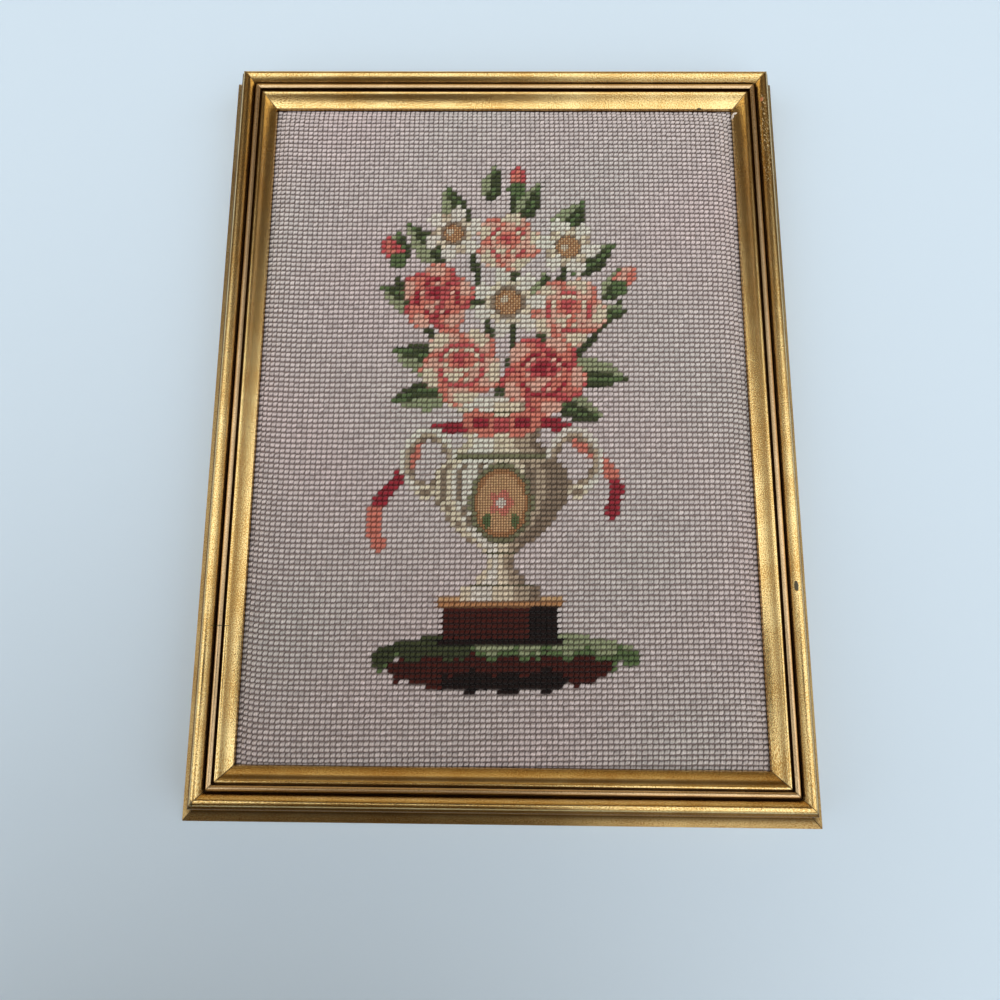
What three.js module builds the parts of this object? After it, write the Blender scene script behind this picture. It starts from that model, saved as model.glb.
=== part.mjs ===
// A framed needlepoint picture, lying on its back with its face up.
//
// Frame of reference: millimetres, +Z up out of the picture's face, +Y towards the picture's top and
// +X towards its right. The origin is the middle of the frame's flat back, so the back is at z = 0.
//
// Four mitred mouldings make the frame. A moulding's section is drawn in (out, up): "out" is how far
// a point lies outwards from the sight edge, which is the inner edge of the frame, and "up" is its
// height above the back.

import * as THREE from 'three';
import { mergeVertices } from 'three/addons/utils/BufferGeometryUtils.js';

// The opening through which the needlepoint shows.
const SIGHT_WIDTH = 238;
const SIGHT_HEIGHT = 330;

// The moulding.
const RAIL_WIDTH = 26.6;    // sight edge to outer edge
const RAIL_DEPTH = 25;      // back to the top of the bead
const REBATE_WIDTH = 6.3;   // how far the rebate is cut outwards, behind the lip
const REBATE_DEPTH = 14.2;  // back to the underside of the lip
const FOOT_HEIGHT = 1.2;    // the small upright edge at the back
const CURVE_STEPS = 6;      // flats on each curved stretch

// The needlepoint and what is behind it.
const CLOTH_THICKNESS = 2.0;
const BOARD_THICKNESS = 3.0;
const RIM_WIDTH = 5.5;      // how far the cloth runs under the lip
const ROLL_HEIGHT = 2.8;    // how far the cloth climbs from the lip into the opening
const ROLL_WIDTH = 12.0;    // how far inside the lip that climb levels out
const CROWN = 0.8;          // the further rise to the middle of the picture
const UNEVENNESS = 0.25;    // soft hollows left by the stitches' pull
const HOLLOW_ACROSS = 31;   // their spread along X and along Y
const HOLLOW_ALONG = 47;
const CLOTH_COLUMNS = 24;   // facets across and along the cloth
const CLOTH_ROWS = 32;

// Pieces that meet stand this far apart.
const GAP = 0.3;

const COLOURS = {
  gilt: { color: 0xc9a04e, roughness: 0.38, metalness: 0.85 },
  wool: { color: 0xb9aaa8, roughness: 0.95, metalness: 0.0 },
  board: { color: 0x8a6a48, roughness: 0.9, metalness: 0.0 },
};

function material(name) {
  return new THREE.MeshStandardMaterial({ name, ...COLOURS[name] });
}

// The moulding's section: a hollow from the sight edge up to a small shoulder, a groove, a flat reed,
// a second groove, the main bead, a narrow ledge outside it, a steep side and a sloping apron.
function mouldingSection() {
  const section = new THREE.Shape();
  section.moveTo(0, REBATE_DEPTH);
  section.lineTo(0, 15.0);                                // nose of the lip
  section.lineTo(0.4, 16.2);
  section.quadraticCurveTo(3.1, 17.3, 5.1, 20.1);         // hollow
  section.quadraticCurveTo(5.9, 21.1, 6.4, 21.1);         // its shoulder
  section.lineTo(6.9, 21.0);
  section.lineTo(7.1, 19.6);                              // inner groove
  section.lineTo(7.9, 19.6);
  section.lineTo(8.0, 22.0);
  section.quadraticCurveTo(9.0, 23.2, 10.0, 22.4);        // flat reed
  section.lineTo(10.1, 20.4);                             // outer groove
  section.lineTo(10.9, 20.4);
  section.lineTo(11.1, 21.4);
  section.quadraticCurveTo(12.8, 24.9, 14.5, RAIL_DEPTH); // bead
  section.quadraticCurveTo(15.7, RAIL_DEPTH, 16.5, 23.8);
  section.lineTo(16.6, 20.8);                             // step down to the ledge
  section.lineTo(17.8, 20.1);
  section.quadraticCurveTo(18.5, 19.8, 18.6, 18.8);
  section.lineTo(18.8, 8.0);                              // steep side
  section.quadraticCurveTo(19.0, 5.8, 20.8, 4.7);         // apron
  section.lineTo(RAIL_WIDTH, FOOT_HEIGHT);
  section.lineTo(RAIL_WIDTH, 0);
  section.lineTo(REBATE_WIDTH, 0);
  section.lineTo(REBATE_WIDTH, REBATE_DEPTH);
  section.closePath();
  return section;
}

// Leaves only positions, with the corners that faces share merged.
function closed(geometry) {
  geometry.deleteAttribute('normal');
  geometry.deleteAttribute('uv');
  const merged = mergeVertices(geometry, 1e-4);
  merged.computeVertexNormals();
  return merged;
}

// One mitred rail, along X, above the opening. Its ends run outwards at 45 degrees, pulled back so
// that two mitres stand GAP apart.
function railGeometry(sightLength, sightAcross) {
  const bar = new THREE.ExtrudeGeometry(mouldingSection(), {
    depth: 1, steps: 1, bevelEnabled: false, curveSegments: CURVE_STEPS,
  });
  const geometry = closed(bar);
  const corners = geometry.attributes.position;
  const pullBack = GAP / Math.SQRT2;
  for (let i = 0; i < corners.count; i += 1) {
    const out = corners.getX(i);
    const up = corners.getY(i);
    const end = corners.getZ(i) < 0.5 ? -1 : 1;
    corners.setXYZ(i, end * (sightLength / 2 + out - pullBack), sightAcross / 2 + out, up);
  }
  geometry.computeVertexNormals();
  return geometry;
}

function rail(name, sightLength, sightAcross, quarterTurns) {
  const mesh = new THREE.Mesh(railGeometry(sightLength, sightAcross), material('gilt'));
  mesh.name = name;
  mesh.rotation.z = quarterTurns * Math.PI / 2;
  return mesh;
}

// From 0 under the lip to 1 where the cloth has levelled out, for a point that far inside the lip.
function rise(inside) {
  const short = 1 - THREE.MathUtils.clamp(inside / ROLL_WIDTH, 0, 1);
  return 1 - short * short;
}

// How much higher the cloth lies at (x, y) than under the lip.
function clothLift(x, y) {
  const shown = rise(SIGHT_WIDTH / 2 - Math.abs(x)) * rise(SIGHT_HEIGHT / 2 - Math.abs(y));
  const crown = CROWN * Math.cos(Math.PI * x / (SIGHT_WIDTH + 2 * RIM_WIDTH))
    * Math.cos(Math.PI * y / (SIGHT_HEIGHT + 2 * RIM_WIDTH));
  const hollows = UNEVENNESS * Math.sin(x / HOLLOW_ACROSS + y / HOLLOW_ALONG)
    * Math.cos(y / HOLLOW_ACROSS - x / HOLLOW_ALONG);
  return shown * (ROLL_HEIGHT + crown + hollows);
}

// Where a grid line of the cloth lies. The first and last are its edges, the next ones in lie on the
// sight edge, where the cloth starts to rise, and the rest crowd towards it, where the cloth bends most.
function gridLine(index, cells, sight) {
  if (index === 0 || index === cells) {
    return Math.sign(index - cells / 2) * (sight / 2 + RIM_WIDTH);
  }
  const share = 2 * (index - 1) / (cells - 2) - 1;
  return Math.sin(share * Math.PI / 2) * sight / 2;
}

// The stretched needlepoint: one sheet with its rim flat under the lip.
function needlepoint() {
  const box = new THREE.BoxGeometry(
    CLOTH_COLUMNS, CLOTH_ROWS, CLOTH_THICKNESS, CLOTH_COLUMNS, CLOTH_ROWS, 1);
  const geometry = closed(box);
  const points = geometry.attributes.position;
  const middle = REBATE_DEPTH - GAP - CLOTH_THICKNESS / 2;
  for (let i = 0; i < points.count; i += 1) {
    const column = Math.round(points.getX(i) + CLOTH_COLUMNS / 2);
    const row = Math.round(points.getY(i) + CLOTH_ROWS / 2);
    const x = gridLine(column, CLOTH_COLUMNS, SIGHT_WIDTH);
    const y = gridLine(row, CLOTH_ROWS, SIGHT_HEIGHT);
    points.setXYZ(i, x, y, middle + points.getZ(i) + clothLift(x, y));
  }
  geometry.computeVertexNormals();
  const mesh = new THREE.Mesh(geometry, material('wool'));
  mesh.name = 'needlepoint';
  return mesh;
}

// The board that holds the cloth up against the lip, clear of the rebate's walls.
function backingBoard() {
  const width = SIGHT_WIDTH + 2 * (REBATE_WIDTH - GAP);
  const height = SIGHT_HEIGHT + 2 * (REBATE_WIDTH - GAP);
  const mesh = new THREE.Mesh(closed(new THREE.BoxGeometry(width, height, BOARD_THICKNESS)), material('board'));
  mesh.name = 'backing_board';
  mesh.position.z = REBATE_DEPTH - 2 * GAP - CLOTH_THICKNESS - BOARD_THICKNESS / 2;
  return mesh;
}

const picture = new THREE.Group();
picture.add(
  rail('rail_top', SIGHT_WIDTH, SIGHT_HEIGHT, 0),
  rail('rail_left', SIGHT_HEIGHT, SIGHT_WIDTH, 1),
  rail('rail_bottom', SIGHT_WIDTH, SIGHT_HEIGHT, 2),
  rail('rail_right', SIGHT_HEIGHT, SIGHT_WIDTH, 3),
  needlepoint(),
  backingBoard(),
);

export default picture;
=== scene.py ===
"""A framed needlepoint picture, lying on its back on a pale floor.

The frame is four mitred rails of gilt wood moulding. Inside its lip lies a canvas worked all over in
tent stitch with wool, and behind the canvas a board.

Lengths are written in millimetres and turned into metres where a mesh is made. +X is the picture's
right, +Y its top and +Z comes out of its face.
"""

import math

import bmesh
import bpy
import numpy as np
from mathutils import Matrix, Vector


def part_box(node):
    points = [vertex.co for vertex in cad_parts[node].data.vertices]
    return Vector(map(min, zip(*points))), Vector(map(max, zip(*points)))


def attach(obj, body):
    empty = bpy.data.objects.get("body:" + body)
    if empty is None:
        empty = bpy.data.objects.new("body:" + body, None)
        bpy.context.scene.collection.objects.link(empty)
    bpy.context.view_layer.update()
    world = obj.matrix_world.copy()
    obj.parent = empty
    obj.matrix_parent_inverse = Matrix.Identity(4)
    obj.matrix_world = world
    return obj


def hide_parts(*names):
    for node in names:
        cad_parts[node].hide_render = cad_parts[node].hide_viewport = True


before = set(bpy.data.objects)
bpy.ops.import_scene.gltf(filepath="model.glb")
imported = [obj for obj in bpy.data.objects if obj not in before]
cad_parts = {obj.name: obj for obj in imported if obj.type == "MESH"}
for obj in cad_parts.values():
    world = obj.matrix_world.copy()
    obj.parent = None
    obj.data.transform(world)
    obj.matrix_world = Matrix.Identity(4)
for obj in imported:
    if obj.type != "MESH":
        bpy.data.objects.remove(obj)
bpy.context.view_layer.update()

MM = 0.001

# The opening that the moulding leaves, and the moulding's own sizes.
SIGHT_WIDTH = 2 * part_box("rail_right")[0].x / MM
SIGHT_HEIGHT = 2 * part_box("rail_top")[0].y / MM
RAIL_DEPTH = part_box("rail_top")[1].z / MM
RAIL_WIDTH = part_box("rail_right")[1].x / MM - SIGHT_WIDTH / 2
REBATE_WIDTH = 6.3
REBATE_DEPTH = 14.2
FOOT_HEIGHT = 1.2

# The worked canvas.
RIM_WIDTH = 5.5
ROLL_HEIGHT = 2.8
ROLL_WIDTH = 12.0
CROWN = 0.8
UNEVENNESS = 0.25
HOLLOW_ACROSS = 31
HOLLOW_ALONG = 47
CLOTH_TOP = 13.9  # the worked face under the lip
WOOL_HEIGHT = 1.3  # how far the stitches stand above the canvas
CANVAS_TOP = CLOTH_TOP - WOOL_HEIGHT
CANVAS_THICKNESS = 0.8
CANVAS_CELLS = (124, 170)  # each 2 mm square
STITCH_PITCH = 2.515  # from one column of holes to the next
ROW_PITCH = 2.5


# ---------------------------------------------------------------- meshes


def finished(name, bm, materials, angle=40):
    """The bmesh as an object at the origin, smooth but for edges sharper than the angle."""
    mesh = bpy.data.meshes.new(name)
    bm.to_mesh(mesh)
    bm.free()
    mesh.polygons.foreach_set("use_smooth", [True] * len(mesh.polygons))
    mesh.set_sharp_from_angle(angle=math.radians(angle))
    for material in materials:
        mesh.materials.append(material)
    piece = bpy.data.objects.new(name, mesh)
    bpy.context.scene.collection.objects.link(piece)
    return piece


# ---------------------------------------------------------------- materials


class Finish:
    """A material, with short calls for the nodes that shape it."""

    def __init__(self, name):
        self.material = bpy.data.materials.new(name)
        self.material.use_nodes = True
        self.tree = self.material.node_tree
        self.surface = self.tree.nodes["Principled BSDF"]

    def node(self, kind, settings=None, inputs=None):
        made = self.tree.nodes.new("ShaderNode" + kind)
        for key, value in (settings or {}).items():
            setattr(made, key, value)
        for key, value in (inputs or {}).items():
            self.feed(made.inputs[key], value)
        return made

    def feed(self, socket, value):
        if isinstance(value, bpy.types.NodeSocket):
            self.tree.links.new(value, socket)
        else:
            socket.default_value = value

    def shader(self, key, value):
        self.feed(self.surface.inputs[key], value)

    def object_place(self):
        return self.node("TexCoord").outputs["Object"]

    def own_map(self, name):
        return self.node("UVMap", {"uv_map": name}).outputs["UV"]

    def stretched(self, place, scale):
        return self.node("Mapping", inputs={"Vector": place, "Scale": scale}).outputs["Vector"]

    def mottle(self, place, scale, detail=3.0, roughness=0.55):
        made = self.node("TexNoise", inputs={
            "Vector": place, "Scale": scale, "Detail": detail, "Roughness": roughness})
        return made.outputs["Fac"]

    def ramp(self, value, low, high, to_low=0.0, to_high=1.0):
        made = self.node("MapRange", {"interpolation_type": "SMOOTHSTEP"}, {
            "Value": value, "From Min": low, "From Max": high, "To Min": to_low, "To Max": to_high})
        return made.outputs["Result"]

    def spot(self, place, centre, size, grain):
        """1 in an uneven spot round the centre and 0 outside it; both in millimetres."""
        scale = [1 / (MM * across) for across in size]
        back = [-at / across for at, across in zip(centre, size)]
        seen = self.node("Mapping", inputs={"Vector": place, "Scale": scale, "Location": back})
        length = self.node("VectorMath", {"operation": "LENGTH"}, {0: seen.outputs["Vector"]})
        # The grain, about a half, makes the spot's edge ragged.
        away = self.sum((length.outputs["Value"], 1.0), (grain, 0.9))
        return self.ramp(away, 1.25, 1.45, 1.0, 0.0)

    def math(self, operation, a, b):
        made = self.node("Math", {"operation": operation}, {0: a, 1: b})
        return made.outputs[0]

    def sum(self, *parts):
        """The sum of some values, each times its weight."""
        total = 0.0
        for value, weight in parts:
            made = self.node("Math", {"operation": "MULTIPLY_ADD"}, {0: value, 1: weight, 2: total})
            total = made.outputs[0]
        return total

    def mix(self, share, a, b, blend="MIX"):
        # The node has sockets for numbers and vectors too; 6, 7 and 2 are those for colours.
        made = self.node("Mix", {"data_type": "RGBA", "blend_type": blend}, {0: share, 6: a, 7: b})
        return made.outputs[2]

    def bump(self, height, distance, strength):
        inputs = {"Height": height, "Distance": distance, "Strength": strength}
        return self.node("Bump", inputs=inputs).outputs["Normal"]


def tint(red, green, blue):
    """A colour given as sRGB bytes."""
    def linear(byte):
        share = byte / 255
        return share / 12.92 if share <= 0.04045 else ((share + 0.055) / 1.055) ** 2.4
    return (linear(red), linear(green), linear(blue), 1.0)


GESSO = tint(236, 226, 216)
BOLE = tint(196, 120, 78)
BARE = tint(78, 66, 24)
SCRATCH = tint(250, 222, 166)

# What has happened to the frame: where, how large and what shows there.
MARKS = (
    ((120.5, 162.3, 16.0), (1.5, 0.75, 1.6), GESSO),  # a ragged chip in the lip at the top right mitre
    ((119.3, 161.0, 15.6), (0.75, 1.3, 1.6), GESSO),
    ((131.6, 165.0, 24.8), (1.0, 1.5, 2.0), BOLE),  # a rub through to the ground colour
    ((132.4, -84.0, 24.6), (0.9, 2.6, 2.0), BARE),  # a dark patch on the right bead
    ((102.0, 165.4, 16.2), (1.3, 0.5, 0.9), BARE),  # a nick in the top lip
    ((-128.5, -104.0, 21.5), (5.5, 0.22, 5.0), BARE),  # a hairline across the left rail
    ((-134.0, -180.5, 24.0), (0.5, 2.2, 3.0), BARE),  # and cracks by the bottom left mitre
    ((-136.8, -183.0, 20.5), (1.8, 0.5, 2.5), BARE),
)
# Where fine scratches cross the right bead, and how far they reach.
SCRATCHED = ((132.5, 142.0, 24.5), (2.8, 30.0, 4.0))


def damaged(finish, colour):
    """The colour with the frame's marks on it, and how much of it is still metal."""
    place = finish.object_place()
    rough_patch = finish.mottle(place, 800, 3.0, 0.6)
    metal = 1.0
    for centre, size, shows in MARKS:
        mark = finish.spot(place, centre, size, rough_patch)
        colour = finish.mix(mark, colour, shows)
        metal = finish.math("SUBTRACT", metal, mark)
    scratches = finish.mottle(finish.stretched(place, (2400, 620, 1200)), 1.0, 2.0, 0.6)
    scratches = finish.ramp(scratches, 0.58, 0.64, 0.0, 0.65)
    scratches = finish.math("MULTIPLY", scratches, finish.spot(place, *SCRATCHED, rough_patch))
    colour = finish.mix(scratches, colour, SCRATCH)
    metal = finish.math("SUBTRACT", metal, scratches)
    return colour, finish.math("MAXIMUM", metal, 0.0)


def gilt(name, bright, deep, roughness, wax_and_shade_colour):
    """Bronze powder rubbed on wood in fine streaks along the rail, marked, and waxed by the grooves; the
    same dark wax colour is painted shade along the bead's outer edge, at the outer steps and in the bottom
    rail's hollow.
    """
    finish = Finish(name)
    # Metres along the rail and metres round it.
    run = finish.own_map("rail")
    streaks = finish.mottle(finish.stretched(run, (90, 2200, 1)), 1.0, 4.0, 0.6)
    grains = finish.mottle(finish.stretched(run, (1500, 2200, 1)), 1.0, 2.0, 0.6)
    clouds = finish.mottle(finish.object_place(), 45, 3.0)
    share = finish.sum((streaks, 0.16), (grains, 0.6), (clouds, 0.22))
    colour = finish.mix(finish.ramp(share, 0.4, 0.58), deep, bright)
    specks = finish.ramp(finish.mottle(finish.object_place(), 1100, 2.0, 0.5), 0.64, 0.74, 0.0, 0.55)
    colour = finish.mix(specks, colour, wax_and_shade_colour)
    colour, metal = damaged(finish, colour)
    # Darkened by wax by the grooves and mitres, and by painted shade by the bead's outer edge, the outer
    # steps and the bottom rail's hollow.
    wax_and_shade = finish.node("Attribute", {"attribute_name": "wax_and_shade"}).outputs["Fac"]
    wax_and_shade_share = finish.ramp(finish.sum((wax_and_shade, 1.0), (grains, 0.3)), 0.35, 1.2, 0.0, 0.9)
    finish.shader("Base Color", finish.mix(wax_and_shade_share, colour, wax_and_shade_colour))
    finish.shader("Metallic", metal)
    rough = finish.ramp(share, 0.3, 0.7, roughness + 0.08, roughness - 0.06)
    finish.shader("Roughness", finish.sum((rough, 1.0), (wax_and_shade_share, 0.3)))
    finish.shader("Coat Weight", 0.12)
    finish.shader("Coat Roughness", 0.2)
    height = finish.sum((streaks, 0.25), (grains, 0.75))
    finish.shader("Normal", finish.bump(height, 0.11 * MM, 0.9))
    return finish.material


def plain_wood(name, pale, dark):
    """Raw softwood with its grain along the rail."""
    finish = Finish(name)
    run = finish.own_map("rail")
    grain = finish.mottle(finish.stretched(run, (14, 900, 1)), 1.0, 5.0, 0.6)
    finish.shader("Base Color", finish.mix(finish.ramp(grain, 0.3, 0.7), pale, dark))
    finish.shader("Roughness", 0.75)
    finish.shader("Normal", finish.bump(grain, 0.1 * MM, 0.5))
    return finish.material


def pressed_board(name, pale, dark):
    """Brown pressed board with a fine fibre."""
    finish = Finish(name)
    place = finish.object_place()
    fibre = finish.mottle(place, 900, 4.0, 0.7)
    clouds = finish.mottle(place, 30, 3.0)
    share = finish.sum((fibre, 0.6), (clouds, 0.4))
    finish.shader("Base Color", finish.mix(finish.ramp(share, 0.3, 0.7), dark, pale))
    finish.shader("Roughness", 0.8)
    finish.shader("Normal", finish.bump(fibre, 0.1 * MM, 0.6))
    return finish.material


FLUFF_AND_SHADE = tint(158, 150, 146)  # what the fluff keeps of the wool's colour, darkened as painted shade between the stitches


def cotton_canvas(name, thread, shade):
    """The canvas under the stitches: bare threads on its back, the wool's fluff on its face, darkened as
    painted shade.
    """
    finish = Finish(name)
    place = finish.object_place()
    threads = finish.mix(finish.mottle(place, 1200, 2.0), shade, thread)
    fluff = finish.node("Attribute", {"attribute_name": "fluff"}).outputs["Color"]
    # Painted shade: the fluff is darkened, as the canvas lies down between the stitches.
    fluff = finish.mix(1.0, fluff, FLUFF_AND_SHADE, "MULTIPLY")
    facing = finish.node("NewGeometry").outputs["Normal"]
    facing = finish.node("SeparateXYZ", inputs={"Vector": facing}).outputs["Z"]
    finish.shader("Base Color", finish.mix(finish.ramp(facing, 0.0, 0.2), threads, fluff))
    finish.shader("Roughness", 0.9)
    return finish.material


def wool(name):
    """Stranded wool: each stitch has its own colour, with painted shade down between the stitches, a
    slight sheen and a fine twist.
    """
    finish = Finish(name)
    # Each stitch's colour, with painted shade darkening it down between the stitches.
    dyed_and_shaded = finish.node("Attribute", {"attribute_name": "dye"}).outputs["Color"]
    place = finish.object_place()
    fuzz = finish.mottle(place, 2600, 2.0, 0.6)
    plies = finish.own_map("strand")
    twist = finish.node("TexWave", {"wave_type": "BANDS", "bands_direction": "DIAGONAL"}, {
        "Vector": plies, "Scale": 1.6, "Distortion": 1.5, "Detail": 1.0}).outputs["Fac"]
    shade = finish.sum((fuzz, 0.5), (twist, 0.5))
    finish.shader("Base Color", finish.mix(finish.ramp(shade, 0.2, 0.8, 0.0, 0.18), dyed_and_shaded, tint(0, 0, 0)))
    finish.shader("Roughness", 0.85)
    finish.shader("Specular IOR Level", 0.25)
    finish.shader("Sheen Weight", 0.12)
    finish.shader("Sheen Roughness", 0.5)
    finish.shader("Normal", finish.bump(shade, 0.12 * MM, 0.6))
    return finish.material


# ---------------------------------------------------------------- the moulding


CURVE_STEPS = 10  # flats on each curved stretch
RAIL_STEPS = 48  # lengths that each rail's faces are cut into
MITRE_GAP = 0.07  # how far each mitre is cut short
SHARP = 28  # degrees at which two faces of a rail meet in an arris
MITRE_WASH = 0.4  # how far dark wax reaches along a rail from its mitre
WASH_WIDTH = 0.6  # and how far the darkening reaches from each of the lines below: wax by a groove, painted shade elsewhere
HOLLOW = (4.7, 19.5)  # the steep part of the section's hollow, as (out, up)
HOLLOW_REACH = 2.4  # how far round there the painted shade reaches
# The arrises beside the grooves and the outer steps, as (out, up). By the first three, beside the grooves,
# the dark is wax; by the rest, under and along the bead's outer edge and at the outer steps, it is painted
# shade.
WAX_AND_SHADE_LINES = ((7.5, 21.2), (10.1, 22.2), (11.0, 21.4), (16.6, 21.0), (16.5, 23.7), (18.7, 18.4), (19.4, 5.8),
           (21.9, 4.0))


def curve(start, pull, end):
    """The points of one curved stretch, after its start."""
    start, pull, end = Vector(start), Vector(pull), Vector(end)
    shares = [step / CURVE_STEPS for step in range(1, CURVE_STEPS + 1)]
    return [start.lerp(pull, share).lerp(pull.lerp(end, share), share) for share in shares]


GILT, GROOVE, REED, WOOD, LEDGE, APRON = range(6)


def moulding():
    """The section as stretches of (finish, points), points in (out, up), from the lip's nose round."""
    return [
        (GROOVE, [(0, REBATE_DEPTH), (0, 15.0)]),
        (GILT, [(0.4, 16.2)] + curve((0.4, 16.2), (3.1, 17.3), (5.1, 20.1))
         + curve((5.1, 20.1), (5.9, 21.1), (6.4, 21.1)) + [(6.9, 21.0)]),
        (GROOVE, [(7.1, 19.6), (7.9, 19.6), (8.0, 22.0)]),
        (REED, curve((8.0, 22.0), (9.0, 23.2), (10.0, 22.4))),
        (GROOVE, [(10.1, 20.4), (10.9, 20.4), (11.1, 21.4)]),
        (GILT, curve((11.1, 21.4), (12.8, 24.9), (14.5, RAIL_DEPTH))
         + curve((14.5, RAIL_DEPTH), (15.7, RAIL_DEPTH), (16.5, 23.8))),
        (LEDGE, [(16.6, 20.8), (17.8, 20.1)] + curve((17.8, 20.1), (18.5, 19.8), (18.6, 18.8))),
        (APRON, [(18.8, 8.0)]),
        (LEDGE, curve((18.8, 8.0), (19.0, 5.8), (20.8, 4.7)) + [(21.2, 4.65), (21.3, 4.35), (21.9, 4.04)]),
        (APRON, [(RAIL_WIDTH, FOOT_HEIGHT)]),
        (WOOD, [(RAIL_WIDTH, 0), (REBATE_WIDTH, 0), (REBATE_WIDTH, REBATE_DEPTH), (0, REBATE_DEPTH)]),
    ]


def wax_and_shade_at(out, up, hollow_shade):
    """How much the section is darkened there: by wax beside the grooves, by painted shade along the bead's
    outer edge and the outer steps, and by painted shade in the hollow.
    """
    groove = min(math.hypot(out - at, up - height) for at, height in WAX_AND_SHADE_LINES)
    hollow = math.hypot(out - HOLLOW[0], up - HOLLOW[1])
    return max(0.0, 1 - groove / WASH_WIDTH, hollow_shade * (1 - (hollow / HOLLOW_REACH) ** 2))


def outline():
    """The section's corners in order, and the finish of the face that runs on from each."""
    corners, finishes = [], []
    for finish, points in moulding():
        corners += [Vector(point) for point in points]
        finishes += [finish] * len(points)
    return corners[:-1], finishes[1:]


def bar(length):
    """A bar of unit length with the moulding's section, closed ends and a map of its length and girth."""
    corners, finishes = outline()
    bm = bmesh.new()
    ring = [bm.verts.new((-0.5, corner.x, corner.y)) for corner in corners]
    edges = [bm.edges.new((ring[i], ring[(i + 1) % len(ring)])) for i in range(len(ring))]
    made = bmesh.ops.extrude_edge_only(bm, edges=edges)["geom"]
    moved = [item for item in made if isinstance(item, bmesh.types.BMVert)]
    bmesh.ops.translate(bm, verts=moved, vec=(1, 0, 0))
    for edge, finish in zip(edges, finishes):
        edge.link_faces[0].material_index = finish
    girth = [0.0]
    for i in range(len(corners)):
        girth.append(girth[-1] + (corners[(i + 1) % len(corners)] - corners[i]).length)
    run = bm.loops.layers.uv.new("rail")
    for i, edge in enumerate(edges):
        for loop in edge.link_faces[0].loops:
            high = loop.vert.co.yz == corners[(i + 1) % len(corners)]
            loop[run].uv = (loop.vert.co.x * length * MM, girth[i + high] * MM)
    ends = [[v for v in bm.verts if v.co.x * side > 0] for side in (-1, 1)]
    for verts in ends:
        rim = [e for e in bm.edges if all(v in verts for v in e.verts)]
        face = bmesh.ops.contextual_create(bm, geom=rim)["faces"][0]
        face.material_index = WOOD
    long_edges = [e for e in bm.edges if abs(e.verts[0].co.x - e.verts[1].co.x) > 0.5]
    bmesh.ops.subdivide_edges(bm, edges=long_edges, cuts=RAIL_STEPS - 1)
    bmesh.ops.recalc_face_normals(bm, faces=bm.faces[:])
    return bm


def rail(name, length, across, quarter_turns, materials, hollow_shade=0.0):
    """One mitred rail on its side of the opening, waxed in its grooves and at its mitres, with painted
    shade along the bead's outer edge, at the outer steps and, where asked, in its hollow.
    """
    bm = bar(length + RAIL_WIDTH)
    wax_and_shade = bm.verts.layers.float.new("wax_and_shade")
    before_last = 0.5 - 1.25 / RAIL_STEPS
    # The rings of corners next to the ends move out to where the wax at the mitres stops.
    for v in bm.verts:
        out, up = v.co.y, v.co.z
        reach = length / 2 + out - MITRE_GAP
        share = 2 * v.co.x
        at_end = abs(share) > 0.999
        if not at_end and abs(v.co.x) > before_last:
            share = math.copysign(1 - MITRE_WASH / reach, share)
        v[wax_and_shade] = 1.0 if at_end else wax_and_shade_at(out, up, hollow_shade)
        v.co = Vector((share * reach, across / 2 + out, up)) * MM
    bmesh.ops.rotate(bm, verts=bm.verts[:], cent=(0, 0, 0),
                     matrix=Matrix.Rotation(quarter_turns * math.pi / 2, 3, "Z"))
    piece = finished(name, bm, materials, SHARP)
    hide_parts(name)
    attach(piece, "root")
    return piece


# ---------------------------------------------------------------- the worked canvas


def rise(inside):
    """From 0 under the lip to 1 where the canvas has levelled out."""
    short = 1 - np.clip(inside / ROLL_WIDTH, 0, 1)
    return 1 - short * short


def lift(x, y):
    """How much higher the canvas lies at (x, y) than under the lip, in millimetres."""
    shown = rise(SIGHT_WIDTH / 2 - np.abs(x)) * rise(SIGHT_HEIGHT / 2 - np.abs(y))
    crown = CROWN * np.cos(math.pi * x / (SIGHT_WIDTH + 2 * RIM_WIDTH)) * np.cos(
        math.pi * y / (SIGHT_HEIGHT + 2 * RIM_WIDTH))
    hollows = UNEVENNESS * np.sin(x / HOLLOW_ACROSS + y / HOLLOW_ALONG) * np.cos(
        y / HOLLOW_ACROSS - x / HOLLOW_ALONG)
    return shown * (ROLL_HEIGHT + crown + hollows)


def canvas(material):
    """The canvas sheet, at the height of the stitches' feet, with the wool's fluff over it."""
    bm = bmesh.new()
    width = SIGHT_WIDTH + 2 * RIM_WIDTH
    height = SIGHT_HEIGHT + 2 * RIM_WIDTH
    bmesh.ops.create_grid(bm, x_segments=CANVAS_CELLS[0], y_segments=CANVAS_CELLS[1], size=0.5)
    for v in bm.verts:
        x, y = v.co.x * width, v.co.y * height
        up = CANVAS_TOP + float(lift(x, y))
        v.co = Vector((x, y, up)) * MM
    bmesh.ops.solidify(bm, geom=bm.faces[:] + bm.edges[:] + bm.verts[:], thickness=CANVAS_THICKNESS * MM)
    bmesh.ops.recalc_face_normals(bm, faces=bm.faces[:])
    piece = finished("canvas", bm, [material])
    places = np.empty(3 * len(piece.data.vertices))
    piece.data.vertices.foreach_get("co", places)
    x, y = places[0::3] / MM, places[1::3] / MM
    aside, up = pull(x, y)
    design = Design((x - aside) / STITCH_PITCH, (y - up) / ROW_PITCH)
    fluff = piece.data.attributes.new("fluff", "FLOAT_COLOR", "POINT")
    shades = np.concatenate([design.dye, np.ones((len(x), 1))], axis=1)
    fluff.data.foreach_set("color", shades.astype(np.float32).ravel())
    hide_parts("needlepoint")
    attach(piece, "root")
    return piece, (width * MM, height * MM)


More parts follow.
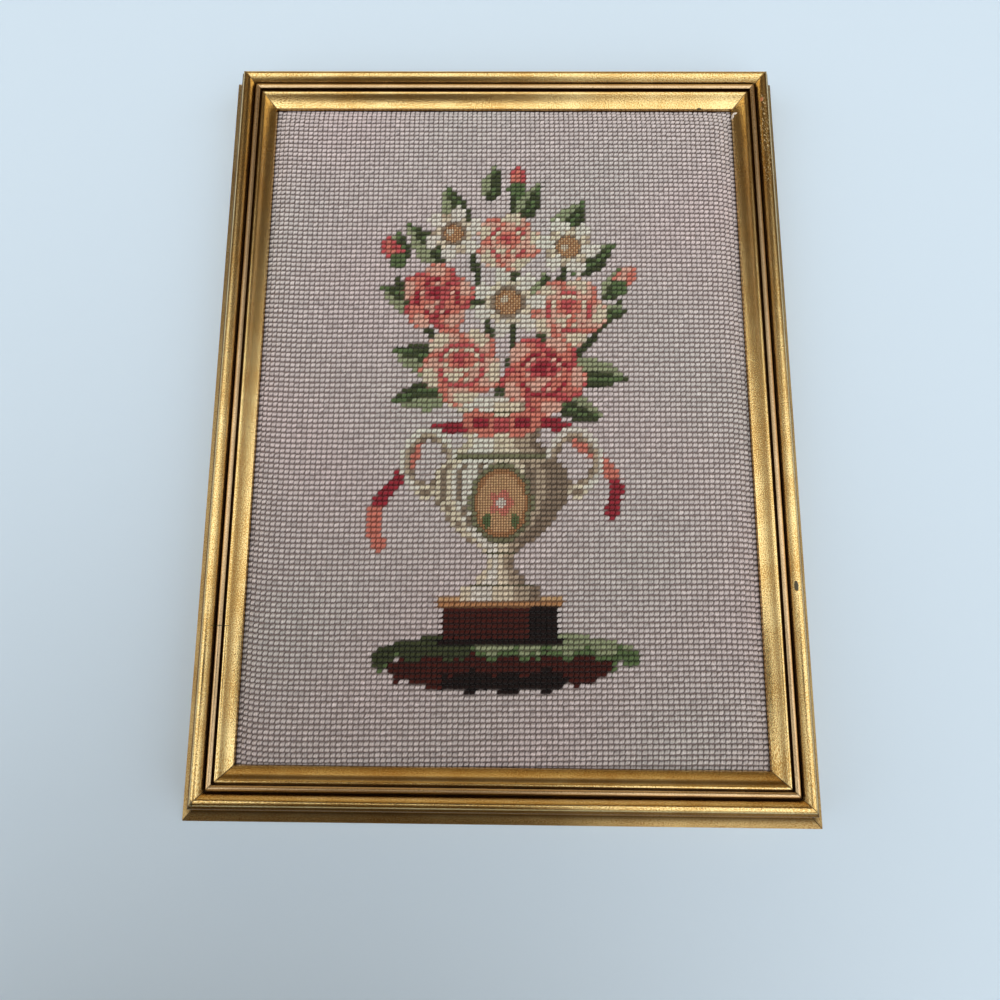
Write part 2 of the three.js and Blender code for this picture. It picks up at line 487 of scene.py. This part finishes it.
def laid(line, sight):
    """Where a line this far from the middle of the flat canvas comes to lie, as the canvas rolls down."""
    reach = sight / 2 + ROLL_WIDTH
    fine = np.linspace(-reach, reach, 4001)
    height = rise(sight / 2 - np.abs(fine)) * (
        ROLL_HEIGHT + CROWN * np.cos(math.pi * fine / (sight + 2 * RIM_WIDTH)))
    along = np.concatenate([[0], np.cumsum(np.hypot(np.diff(fine), np.diff(height)))])
    return np.interp(line, along - along[-1] / 2, fine)


STATIONS = 3  # rings of corners between a ply's two tips
SIDES = 5  # corners in each ring
RING_REACH = 1.32  # spreads the outer rings towards the tips

# The ply's section and where it lies, against its width and its height.
HALF_WIDTH = 0.55
HALF_HEIGHT = 0.42
ARCH = 0.62  # how far its middle climbs above its ends
SUNK = 0.06  # how far its ends lie in their holes
TIP_DEPTH = 0.2  # and its tips

SHADE_AT_CANVAS = 0.61  # painted shade: how much of its colour the wool keeps down at the canvas
LIT_FROM = 0.8  # the share of a ply's height from which no painted shade darkens the wool


def strand():
    """One ply of unit length, width and height, its ends dipping into their holes.

    Gives the points, the faces and each face corner's place on the ply: along it and round it.
    The ply is a ball of few faces drawn out along X, arched along its length and rounded across.
    """
    bm = bmesh.new()
    # The ball's poles become the tips.
    bmesh.ops.create_uvsphere(bm, u_segments=SIDES, v_segments=STATIONS + 1, radius=1)
    lying = Matrix.Rotation(math.pi / 2, 3, "X") @ Matrix.Rotation(math.pi / 2, 3, "Y")
    bmesh.ops.rotate(bm, verts=bm.verts[:], cent=(0, 0, 0), matrix=lying)
    bm.verts.index_update()
    full_turn = 2 * math.pi
    # From -1 at one tip to 1 at the other.
    shares = [math.asin(max(-1.0, min(1.0, v.co.x))) / (math.pi / 2) for v in bm.verts]
    tips = [abs(share) > 0.99 for share in shares]
    turns = [math.atan2(v.co.z, v.co.y) for v in bm.verts]
    faces, places = [], []
    for face in bm.faces:
        centre = face.calc_center_median()
        facing = math.atan2(centre.z, centre.y)
        faces.append([v.index for v in face.verts])
        for i in faces[-1]:
            aside = 0.0 if tips[i] else (turns[i] - facing + math.pi) % full_turn - math.pi
            places.append(((shares[i] + 1) / 2, (facing / full_turn) % 1 + aside / full_turn))
    # The ply thins towards its tips and arches between them.
    points = []
    for share, tip, turn in zip(shares, tips, turns):
        along = RING_REACH * share
        girth = 1 - 0.5 * abs(along) ** 1.5
        across = HALF_WIDTH * girth * math.cos(turn)
        up = ARCH * (1 - abs(along) ** 2.6) - SUNK + HALF_HEIGHT * girth * math.sin(turn)
        points.append((share / 2, 0, -TIP_DEPTH) if tip else (along / 2, across, up))
    bm.free()
    return np.array(points), faces, np.array(places)


def ground_lie(x, y):
    """East, north and up along the canvas at (x, y)."""
    step = 0.5
    slope_x = (lift(x + step, y) - lift(x - step, y)) / (2 * step)
    slope_y = (lift(x, y + step) - lift(x, y - step)) / (2 * step)
    up = np.stack([-slope_x, -slope_y, np.ones(len(x))], axis=1)
    up /= np.linalg.norm(up, axis=1, keepdims=True)
    east = np.stack([np.ones(len(x)), np.zeros(len(x)), slope_x], axis=1)
    east /= np.linalg.norm(east, axis=1, keepdims=True)
    return east, np.cross(up, east), up


def mesh_of_copies(name, points, faces):
    """One smooth mesh of many copies of the same faces, from each copy's own points."""
    count, corners = points.shape[:2]
    loops = np.array([corner for face in faces for corner in face])
    starts = np.concatenate([[0], np.cumsum([len(face) for face in faces])[:-1]])
    offset = np.arange(count)[:, None]
    mesh = bpy.data.meshes.new(name)
    mesh.vertices.add(count * corners)
    mesh.vertices.foreach_set("co", (points * MM).astype(np.float32).ravel())
    mesh.loops.add(count * len(loops))
    mesh.loops.foreach_set("vertex_index", (loops + offset * corners).astype(np.int32).ravel())
    mesh.polygons.add(count * len(faces))
    mesh.polygons.foreach_set("loop_start", (starts + offset * len(loops)).astype(np.int32).ravel())
    mesh.update(calc_edges=True)
    mesh.polygons.foreach_set("use_smooth", np.ones(count * len(faces), bool))
    return mesh


def joined_stitches(name, x, y, sizes, turns, dyes, material):
    """One mesh of many stitches, each a copy of the same strand, turned and sized by its own numbers."""
    points, faces, places = strand()
    count = len(x)
    east, north, up = ground_lie(x, y)
    centres = np.stack([x, y, CANVAS_TOP + lift(x, y)], axis=1)
    cos, sin = np.cos(turns)[:, None], np.sin(turns)[:, None]
    axes = np.stack([east * cos + north * sin, north * cos - east * sin, up], axis=1)
    sized = points[None, :, :] * sizes[:, None, :]
    mesh = mesh_of_copies(name, centres[:, None, :] + sized @ axes, faces)
    # Painted shade: the wool is darker down between the stitches than on their tops.
    painted_shade = SHADE_AT_CANVAS + (1 - SHADE_AT_CANVAS) * np.clip(points[:, 2] / LIT_FROM, 0, 1) ** 1.2
    shades = np.ones((count, len(points), 4))
    shades[:, :, :3] = dyes[:, None, :] * painted_shade[None, :, None]
    # The dye attribute holds each stitch's colour with that painted shade on it.
    dye = mesh.attributes.new("dye", "FLOAT_COLOR", "POINT")
    dye.data.foreach_set("color", shades.astype(np.float32).ravel())
    strand_map = mesh.uv_layers.new(name="strand")
    strand_map.data.foreach_set("uv", np.tile(places, (count, 1)).astype(np.float32).ravel())
    # Each stitch has its own small cell of the second map, with a margin round it.
    per_side = math.ceil(math.sqrt(count))
    cells = np.stack([np.arange(count) % per_side, np.arange(count) // per_side], axis=1)
    margin = 0.15
    packed = (cells[:, None, :] + margin + (1 - 2 * margin) * places[None, :, :]) / per_side
    bake_map = mesh.uv_layers.new(name="OFBake")
    bake_map.data.foreach_set("uv", packed.astype(np.float32).ravel())
    mesh.validate()
    mesh.materials.append(material)
    piece = bpy.data.objects.new(name, mesh)
    bpy.context.scene.collection.objects.link(piece)
    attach(piece, "root")
    return piece


# How far the lines of stitches go astray, in stitches.
LEAN = 1.3
CLIMB = 1.9
EDGE_CLIMB = 1.0
EDGE_DROOP = 0.35
SLACK = 0.5

EDGE_REACH = 9  # how far in from an edge its climb or droop is felt
BY_HAND = 0.04  # how far one stitch strays


def pull(x, y):
    """How far the stitches' pull shifts the canvas.

    Columns lean left towards the foot. Rows climb to the right but droop at the right edge, and they lie
    closer at the head and the foot than between.
    """
    # From 0 to 1 across the opening, and from 0 to 1 down it.
    u, v = x / SIGHT_WIDTH + 0.5, 0.5 - y / SIGHT_HEIGHT
    lean = -LEAN * np.clip(u - 0.2, 0, 1) * np.clip((v - 0.3) / 0.5, 0, 1)
    climb = CLIMB * (u - 0.3) * v + EDGE_CLIMB * np.exp(-u * SIGHT_WIDTH / EDGE_REACH)
    climb = climb - EDGE_DROOP * (1.7 - v) * np.exp((u - 1) * SIGHT_WIDTH / EDGE_REACH)
    climb = climb + SLACK * np.sin(2 * math.pi * y / SIGHT_HEIGHT)
    return lean * STITCH_PITCH, climb * ROW_PITCH


def pulled(x, y, rng):
    """The laid places after that pull, each a little off by hand."""
    aside, up = pull(x, y)
    return x + aside + rng.normal(0, BY_HAND, len(x)), y + up + rng.normal(0, BY_HAND, len(x))


# ---------------------------------------------------------------- the design


WOOLS = {
    "ground": tint(238, 225, 222),
    "ivory": tint(252, 246, 232),
    "cream": tint(248, 234, 206),
    "taupe": tint(206, 186, 160),
    "mushroom": tint(160, 140, 118),
    "blush": tint(252, 200, 178),
    "coral": tint(240, 146, 126),
    "rose": tint(218, 100, 100),
    "crimson": tint(176, 52, 64),
    "mint": tint(174, 182, 142),
    "moss": tint(108, 130, 82),
    "sage": tint(140, 138, 104),
    "olive": tint(76, 84, 52),
    "tan": tint(234, 190, 140),
    "fawn": tint(204, 148, 100),
    "brown": tint(84, 30, 20),
    "umber": tint(34, 16, 12),
}


STRIP_STEPS = 90  # dabs that make a strip, each closer to the last than a stitch


class Design:
    """A footed urn of roses and daisies on a patch of turf, charted in stitches from the middle.

    Each shape is laid over those before it. What is fine is worked in half-size stitches.
    """

    def __init__(self, x, y):
        self.x, self.y = x, y
        self.dye = np.tile(np.array(WOOLS["ground"][:3]), (len(x), 1))
        self.drawn = np.zeros(len(x), bool)
        self.fine = np.zeros(len(x), bool)
        self.turf()
        self.plinth()
        self.greenery()
        self.urn()
        self.bouquet()
        self.swags()
        self.handles()

    def lay(self, where, wool):
        self.dye[where] = WOOLS[wool][:3]
        self.drawn |= where

    def about(self, x, y, turn=0.0):
        """Places seen from (x, y), turned by so many degrees."""
        dx, dy = self.x - x, self.y - y
        cos, sin = math.cos(math.radians(turn)), math.sin(math.radians(turn))
        return dx * cos + dy * sin, dy * cos - dx * sin

    def rose(self, x, y, size, turn, wools):
        """A full bloom: five outer petals, a cup and its dark mouth; the wools run from dark to light."""
        for petal in range(5):
            along, across = self.about(x, y, turn + 72 * petal)
            self.lay(np.hypot((along - 0.54 * size) / (0.48 * size), across / (0.5 * size)) < 1, wools[1])
            rim = np.hypot((along - 0.6 * size) / (0.4 * size), (across - 0.08 * size) / (0.4 * size))
            self.lay(rim < 1, wools[2])
            self.lay((rim < 0.95) & (along > 0.66 * size) & (across > -0.1 * size), wools[3])
        across, up = self.about(x, y)
        cup = np.hypot(across / (0.52 * size), up / (0.5 * size))
        self.lay(cup < 1.12, wools[0])
        self.lay(cup < 0.98, wools[2])
        self.lay((cup < 0.9) & (up < -0.16 * size) & (across < 0.2 * size), wools[3])
        self.lay((cup < 0.98) & (np.abs(across - 0.5 * up - 0.2 * size) < 0.6) & (up < 0), wools[1])
        mouth = np.hypot(across / (0.38 * size), (up - 0.14 * size) / (0.24 * size))
        self.lay(mouth < 1.2, wools[3])
        self.lay(mouth < 1, wools[1])
        self.lay(mouth < 0.66, wools[0])
        self.lay((mouth < 0.5) & (across > 0.02 * size), wools[1])

    def daisy(self, x, y, size, turn, petals):
        """An open flower with cream petals and a heart of petit point."""
        across, up = self.about(x, y, turn)
        angle = np.arctan2(up, across)
        out = np.hypot(across, up) / size
        lobe = np.abs(np.cos(petals * angle / 2))
        self.lay(out < 0.42 + 0.58 * lobe ** 0.6, "ivory")
        self.lay((out < 0.42 + 0.58 * lobe ** 0.6) & (lobe < 0.5), "taupe")
        self.lay((out < 0.62) & (lobe < 0.8), "cream")
        self.lay(out < 0.44, "mushroom")
        heart = out < 0.36
        self.fine |= heart
        self.lay(heart, "tan")
        self.lay(heart & ((np.floor(2 * self.x) + np.floor(2 * self.y)) % 2 == 0), "fawn")
        self.lay(heart & (np.hypot(across + 0.6, up - 0.6) < 0.3 * size * 0.36), "cream")

    def bud(self, x, y, size, turn, wools):
        """A closed bud in its green cup, opening along the turn."""
        along, across = self.about(x, y, turn)
        self.lay(np.hypot(along / size, across / (0.6 * size)) < 1, wools[1])
        gleam = np.hypot((along - 0.2 * size) / (0.7 * size), (across - 0.15 * size) / (0.25 * size))
        self.lay(gleam < 1, wools[2])
        self.lay(np.hypot((along + 0.7 * size) / (0.6 * size), across / (0.6 * size)) < 1, "moss")

    def leaf(self, x, y, length, turn):
        """A leaf from its stalk's end, dark below the rib and pale above it."""
        along, across = self.about(x, y, turn)
        share = np.clip(along / length, 0, 1)
        half = 0.24 * length * np.sin(math.pi * share ** 0.75)
        inside = (np.abs(across) < half) & (along > 0) & (along < length)
        self.lay(inside, "moss")
        self.lay(inside & (across > 0.35) & (share > 0.15), "mint")
        self.lay(inside & (across < -0.5 * half), "olive")
        self.lay(inside & (np.abs(across) < 0.45) & (share < 0.75), "olive")

    def strip(self, points, width, wool, waves=0.0, swing=0.0):
        """A band along a line bent towards the middle one of three points.

        A ribbon has two wools, for its back and its face, and swings to either side as it twists.
        """
        (x0, y0), (x1, y1), (x2, y2) = points
        for share in np.linspace(0, 1, STRIP_STEPS):
            x = (1 - share) ** 2 * x0 + 2 * share * (1 - share) * x1 + share ** 2 * x2
            y = (1 - share) ** 2 * y0 + 2 * share * (1 - share) * y1 + share ** 2 * y2
            turn = math.sin(2 * math.pi * waves * share)
            shown = math.cos(2 * math.pi * waves * share) > -0.2
            dx, dy = self.x - x - swing * turn, self.y - y
            self.lay(np.hypot(dx, dy) < width / 2, wool[shown] if isinstance(wool, tuple) else wool)

    def turf(self):
        """A ragged patch of grass with bare soil showing at its front."""
        ragged = 1.3 * np.sin(self.x * 0.9) + 0.9 * np.sin(self.x * 2.3 + 1)
        across, up = self.about(1, -47)
        slab = np.hypot(across / 25, up / 5.2) < 1
        self.lay(slab & (up > -2 + ragged), "moss")
        self.lay(slab & (up > 1.2 + 0.6 * ragged), "mint")
        self.lay(slab & (up > -1 + ragged) & (across < -6), "olive")
        soil = np.hypot((across + 1) / 21, (up + 1.5 + 0.3 * ragged) / 4.6) < 1
        soil &= up < 0.2 + 0.5 * ragged
        self.lay(soil, "brown")
        self.lay(soil & (up < -2.6 + 0.4 * ragged) & (np.abs(across) < 12), "umber")

    def plinth(self):
        """A dark block with a paler slab on it."""
        across, up = self.about(0, -40)
        block = (np.abs(across) < 11) & (np.abs(up) < 3.6)
        self.lay(block, "brown")
        self.lay(block & (across > 5), "umber")
        slab = (np.abs(across) < 12) & (up < 4.6)
        self.lay(slab & (up > 2.4), "fawn")
        self.lay(slab & (up > 3.6), "tan")
        self.lay(slab & (up < -3) & (up > -4.6), "umber")

    def urn(self):
        """The urn from its foot to its lip, fluted round the belly, with a medallion on its front."""
        across, up = self.about(0, -36)
        heights = [0, 2, 3, 6, 9, 13, 19, 24, 27, 30, 35, 37, 39]
        halves = [7.5, 7.5, 5, 2.4, 3.2, 9, 13, 13, 10, 7, 7.5, 10.5, 11.5]
        half = np.interp(up, heights, halves, left=0, right=0)
        body = (np.abs(across) < half) & (up >= 0) & (up < 39)
        around = across / np.maximum(half, 0.1)
        self.lay(body, "cream")
        self.lay(body & (around > -0.72) & (around < -0.18), "ivory")
        self.lay(body & (around > 0.34), "taupe")
        self.lay(body & (around > 0.74), "mushroom")
        belly = body & (up > 10) & (up < 26)
        flute = (np.arcsin(np.clip(around, -1, 1)) / math.pi * 9) % 1
        self.lay(belly & (flute < 0.24), "mushroom")
        self.lay(belly & (flute > 0.24) & (flute < 0.5) & (around > 0.3), "mushroom")
        for low, high in ((2, 3), (8, 9), (26, 27.4), (35, 36)):
            self.lay(body & (up > low) & (up < high), "sage")
        self.lay(body & (up > 37.8), "ivory")
        oval = np.hypot(across / 5.2, (up - 18) / 6.6)
        self.lay(oval < 1.18, "sage")
        medallion = oval < 1
        self.fine |= medallion
        self.lay(medallion, "tan")
        self.lay(medallion & (oval > 0.84), "fawn")
        angle = np.arctan2(up - 18, across)
        sprig = np.hypot(across, up - 18)
        self.lay(sprig < 1.3 + 1.3 * np.abs(np.cos(2.5 * angle)), "coral")
        self.lay(sprig < 0.9, "ivory")
        for side in (-1, 1):
            self.lay(np.hypot(across - side * 2.6, (up - 14.6) / 1.8) < 0.8, "moss")

    def greenery(self):
        """Stalks and leaves, behind the blooms."""
        for stalk in (
            ((0, 0), (-3, 20), (-9, 44)), ((1, 0), (3, 22), (2, 47)), ((2, 0), (9, 18), (16, 40)),
            ((-3, 0), (-14, 14), (-21, 27)), ((4, 0), (15, 10), (23, 22)),
        ):
            self.strip(stalk, 1.5, "olive")
        for leaf in (
            (-9, 4, 13, 190), (-10, 8, 13, 160), (-15, 20, 11, 150), (-12, 30, 12, 128),
            (-8, 38, 11, 110), (-3, 44, 9, 80), (3, 40, 10, 60), (10, 36, 11, 52),
            (13, 28, 12, 35), (13, 18, 12, 12), (12, 8, 13, -8), (9, 3, 12, -24),
            (-4, 22, 9, 170), (7, 20, 9, 80), (-20, 30, 8, 100), (20, 22, 8, 66),
        ):
            self.leaf(*leaf)

    def bouquet(self):
        """Buds and blooms, from the back of the bunch to its front."""
        reds = ("crimson", "rose", "coral", "blush")
        pinks = ("rose", "coral", "blush", "cream")
        self.bud(-22, 33, 3.2, 115, reds)
        self.bud(24, 27, 3.2, 62, pinks)
        self.bud(3, 49, 3.2, 86, reds)
        self.rose(1, 35, 6.6, 70, pinks)
        self.daisy(-10, 37, 6.2, 20, 6)
        self.daisy(13, 34, 6.4, 50, 6)
        self.rose(-13, 23, 7.2, 10, reds)
        self.rose(13, 20, 7.4, 130, pinks)
        self.daisy(1, 22, 7.4, 0, 7)
        self.rose(-8, 9, 8.0, 50, pinks)
        self.rose(8, 7, 8.2, 200, reds)

    def swags(self):
        """A ribbon tied under the lip, its two tails hanging unlike."""
        tails = ("crimson", "coral")
        self.strip(((-1, -3), (-22, -1), (-23, -26)), 2.6, tails, 2.0, 1.6)
        self.strip(((1, -3), (20, 0), (21, -20)), 2.6, tails, 1.5, 1.4)
        for side in (-1, 1):
            across, up = self.about(side * 4, -2.6, side * 20)
            loop = np.hypot(across / 3.8, up / 2.4)
            self.lay(loop < 1, "coral")
            self.lay(loop < 0.5, "crimson")
        self.lay(np.hypot(self.x, self.y + 3) < 1.7, "rose")

    def handles(self):
        """Two scrolls that spring from the shoulder, pass before the ribbon and end in a knob."""
        for side in (-1, 1):
            across, up = side * self.x - 14, self.y + 10
            ring = np.hypot(across / 4.4, up / 5.6)
            round_it = (ring > 0.74) & (ring < 1.2) & ((across > -1.5) | (up > 0))
            self.lay(round_it, "taupe")
            self.lay(round_it & (ring > 0.98), "ivory")
            self.lay(round_it & (ring < 0.84), "mushroom")
            self.lay(np.hypot(across - 0.5, up + 5.6) < 1.6, "cream")
            self.lay(np.hypot(across - 0.5, up + 5.9) < 0.8, "mushroom")


# ---------------------------------------------------------------- the stitches


# Each one's usual measure, and its spread.
STITCH_TURN = (60, 2.5)  # degrees from its row
STITCH_SHADE = (1, 0.055)
PLY_TURN = (0, 3)  # degrees from its stitch
PLY_SHADE = (1, 0.03)
PLY_LENGTH = (2.52, 0.14)
PLY_WIDTH = (1.24, 0.05)
PLY_HEIGHT = (1.45, 0.1)
LONE_PLY_WIDTH = (1.8, 0.05)

PLY_STEP = 0.87  # from one ply of a stitch to the next, along its row
PLY_SLIP = 0.07  # how far a ply slips up or down
WARMTH = (0.035, -0.005, 0.01)  # how far a warm patch shifts red, green and blue
UNDER_LIP = 1.2  # how far the stitches go on under the lip
COLUMNS = range(-49, 52)
ROWS = range(-69, 74)
BANDS = 4


def shaded(x, y, base, rng):
    """Wool colours as worked: each stitch a little its own, with broad warmer and cooler patches."""
    each = rng.normal(*STITCH_SHADE, (len(x), 1))
    # Patches a few centimetres across, in no regular order.
    warm = np.sin(x / 23 + 1.3 * np.sin(y / 37)) * np.cos(y / 29 - 0.8 * np.sin(x / 41))
    return base * each * (1 + warm[:, None] * np.array(WARMTH))


def work(name, column, row, dye, share, plies, material, rng):
    """Works the stitches of one kind: share is their size against a full stitch.

    Each stitch differs a little from the next in place, turn and colour, and so does each of its plies.
    """
    x = laid(column * STITCH_PITCH, SIGHT_WIDTH)
    y = -laid(row * ROW_PITCH, SIGHT_HEIGHT)
    x, y = pulled(x, y, rng)
    turns = np.radians(rng.normal(*STITCH_TURN, len(x)))
    dyes = shaded(x, y, dye, rng)
    inside = (np.abs(x) < SIGHT_WIDTH / 2 + UNDER_LIP) & (np.abs(y) < SIGHT_HEIGHT / 2 + UNDER_LIP)
    x, y, turns, dyes = x[inside], y[inside], turns[inside], dyes[inside]
    beside = (np.arange(plies) - (plies - 1) / 2) * PLY_STEP
    x = np.concatenate([x + step for step in beside])
    y, turns, dyes = np.tile(y, plies), np.tile(turns, plies), np.tile(dyes, (plies, 1))
    count = len(x)
    dyes = dyes * rng.normal(*PLY_SHADE, (count, 1))
    turns = turns + np.radians(rng.normal(*PLY_TURN, count))
    y = y + rng.normal(0, PLY_SLIP * share, count)
    measures = (PLY_LENGTH, PLY_WIDTH if plies > 1 else LONE_PLY_WIDTH, PLY_HEIGHT)
    sizes = share * np.stack([rng.normal(*measure, count) for measure in measures], axis=1)
    return joined_stitches(name, x, y, sizes, turns, dyes, material)


def stitches(material):
    """The ground in bands, the motif in full stitches, and its finest parts in half-size stitches."""
    rng = np.random.default_rng(11)
    column, row = np.meshgrid(COLUMNS, ROWS)
    column, row = column.ravel().astype(float), row.ravel().astype(float)
    design = Design(column, -row)
    made = []
    ground = ~design.drawn & ~design.fine
    band_of = np.clip((row / len(ROWS) + 0.5) * BANDS, 0, BANDS - 1).astype(int)
    kinds = [(f"ground_stitches_{band + 1}", ground & (band_of == band)) for band in range(BANDS)]
    kinds.append(("motif_stitches", design.drawn & ~design.fine))
    for name, chosen in kinds:
        made.append(work(name, column[chosen], row[chosen], design.dye[chosen], 1.0, 2, material, rng))
    quarters = [(aside, up) for aside in (-0.25, 0.25) for up in (-0.25, 0.25)]
    column, row = column[design.fine], row[design.fine]
    column = np.concatenate([column + aside for aside, up in quarters])
    row = np.concatenate([row + up for aside, up in quarters])
    made.append(work("petit_point", column, row, Design(column, -row).dye, 0.5, 1, material, rng))
    return made


# ---------------------------------------------------------------- the board


EASED = 0.4


def backing_board(material):
    """The plain board behind the canvas, its edges eased."""
    low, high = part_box("backing_board")
    bm = bmesh.new()
    bmesh.ops.create_cube(bm, size=1)
    bmesh.ops.scale(bm, verts=bm.verts[:], vec=high - low)
    bmesh.ops.translate(bm, verts=bm.verts[:], vec=(low + high) / 2)
    bmesh.ops.bevel(bm, geom=bm.edges[:], offset=EASED * MM, segments=2, profile=0.5, affect="EDGES",
                    material=-1)
    piece = finished("board", bm, [material])
    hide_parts("backing_board")
    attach(piece, "root")
    return piece


# ---------------------------------------------------------------- floor, lights and camera


def floor():
    """A pale painted floor, far wider than the view."""
    bm = bmesh.new()
    bmesh.ops.create_grid(bm, x_segments=1, y_segments=1, size=6)
    finish = Finish("pale_floor")
    finish.shader("Base Color", tint(222, 239, 253))
    finish.shader("Roughness", 0.6)
    finish.shader("Specular IOR Level", 0.2)
    piece = finished("floor", bm, [finish.material])


# Name, left and right side, then where the low edge and the high edge lie along Y and Z, all in metres.
FLAGS = (
    ("far_low_flag", (-1.6, 1.6), (3, 0.1), (3, 1.2), tint(226, 202, 162)),
    ("far_middle_flag", (-1.6, 1.6), (3, 1.2), (3, 3), tint(184, 152, 102)),
    ("far_left_flag", (-8, -1.6), (3, 0.1), (3, 3), tint(82, 58, 28)),
    ("far_right_flag", (1.6, 8), (3, 0.1), (3, 3), tint(68, 45, 17)),
    ("tall_flag", (-1.25, 1.25), (3, 3), (3, 6.5), tint(98, 74, 40)),
    ("tall_left_flag", (-8, -1.25), (3, 3), (3, 6.3), tint(90, 66, 34)),
    ("tall_right_flag", (1.25, 8), (3, 3), (3, 6.8), tint(82, 58, 27)),
    ("low_flag", (-0.45, 0.08), (-0.45, 0.02), (-0.42, 0.3), tint(116, 92, 62)),
    ("high_flag", (-0.27, 0.09), (-0.42, 0.3), (-0.21, 0.44), tint(136, 110, 74)),
)
OVER_FLAG = ("over_flag", (-0.15, 0.065), (-0.156, 0.2), (-0.09, 0.2), tint(36, 26, 13))


def flag(name, sides, low, high, colour, metal_only=False):
    """A dark panel that the gilt mirrors, as a studio's flag is. The camera doesn't see it.

    Matt surfaces don't see one that is for metal only.
    """
    left, right = sides
    bm = bmesh.new()
    corners = [(left, *low), (right, *low), (right, *high), (left, *high)]
    bmesh.ops.contextual_create(bm, geom=[bm.verts.new(corner) for corner in corners])
    finish = Finish(name)
    finish.shader("Base Color", colour)
    finish.shader("Roughness", 0.9)
    piece = finished(name, bm, [finish.material])
    piece.visible_camera = False
    piece.visible_diffuse = not metal_only


def sky():
    """A soft pale dome, brightest overhead."""
    world = bpy.data.worlds.new("soft_dome")
    bpy.context.scene.world = world
    world.use_nodes = True
    tree = world.node_tree
    background = tree.nodes["Background"]
    place = tree.nodes.new("ShaderNodeTexCoord").outputs["Generated"]
    split = tree.nodes.new("ShaderNodeSeparateXYZ")
    tree.links.new(place, split.inputs[0])
    ramp = tree.nodes.new("ShaderNodeMapRange")
    ramp.interpolation_type = "SMOOTHSTEP"
    tree.links.new(split.outputs["Z"], ramp.inputs["Value"])
    # Its strength at the horizon and overhead.
    for key, value in {"From Min": 0.0, "From Max": 0.8, "To Min": 0.38, "To Max": 1.48}.items():
        ramp.inputs[key].default_value = value
    tree.links.new(ramp.outputs["Result"], background.inputs["Strength"])
    background.inputs["Color"].default_value = (0.97, 0.99, 1.0, 1.0)


def camera():
    """Looks down from 0.4 m up over the picture's lower half, tilted towards its head."""
    data = bpy.data.cameras.new("camera")
    data.sensor_width = 36
    data.lens = 28.98
    data.shift_x = 0.0253
    data.clip_start = 0.01
    made = bpy.data.objects.new("camera", data)
    bpy.context.scene.collection.objects.link(made)
    made.location = Vector((-8.2, -119.2, 389.4)) * MM
    made.rotation_euler = (math.radians(11.40), math.radians(0.64), math.radians(0.58))
    bpy.context.scene.camera = made


bpy.context.scene.view_settings.view_transform = "Standard"
camera()
floor()
sky()
for panel in FLAGS:
    flag(*panel)
flag(*OVER_FLAG, metal_only=True)

# In the order of the moulding's finishes.
rail_materials = [
    gilt("gilt", tint(252, 224, 158), tint(204, 156, 80), 0.2, tint(70, 48, 16)),
    gilt("dark_groove", tint(96, 62, 18), tint(62, 36, 8), 0.5, tint(52, 30, 6)),
    gilt("pale_reed", tint(232, 200, 154), tint(198, 164, 118), 0.3, tint(90, 62, 34)),
    plain_wood("bare_wood", tint(205, 176, 132), tint(168, 132, 88)),
    # The ledge's and the apron's gilt are darker copies of the gilt: painted shade.
    gilt("shaded_ledge", tint(150, 114, 62), tint(112, 80, 36), 0.45, tint(60, 40, 14)),
    gilt("shaded_apron", tint(242, 206, 138), tint(176, 128, 62), 0.28, tint(60, 40, 14)),
]
rail("rail_top", SIGHT_WIDTH, SIGHT_HEIGHT, 0, rail_materials).name = "top_rail"
rail("rail_left", SIGHT_HEIGHT, SIGHT_WIDTH, 1, rail_materials).name = "left_rail"
# Only the bottom rail's hollow is darkened, with painted shade.
rail("rail_bottom", SIGHT_WIDTH, SIGHT_HEIGHT, 2, rail_materials, hollow_shade=0.85).name = "bottom_rail"
rail("rail_right", SIGHT_HEIGHT, SIGHT_WIDTH, 3, rail_materials).name = "right_rail"

backing_board(pressed_board("pressed_board", tint(150, 116, 82), tint(112, 82, 54)))
worked = stitches(wool("wool"))
sheet, flat_size = canvas(cotton_canvas("cotton_canvas", tint(206, 190, 160), tint(160, 142, 112)))
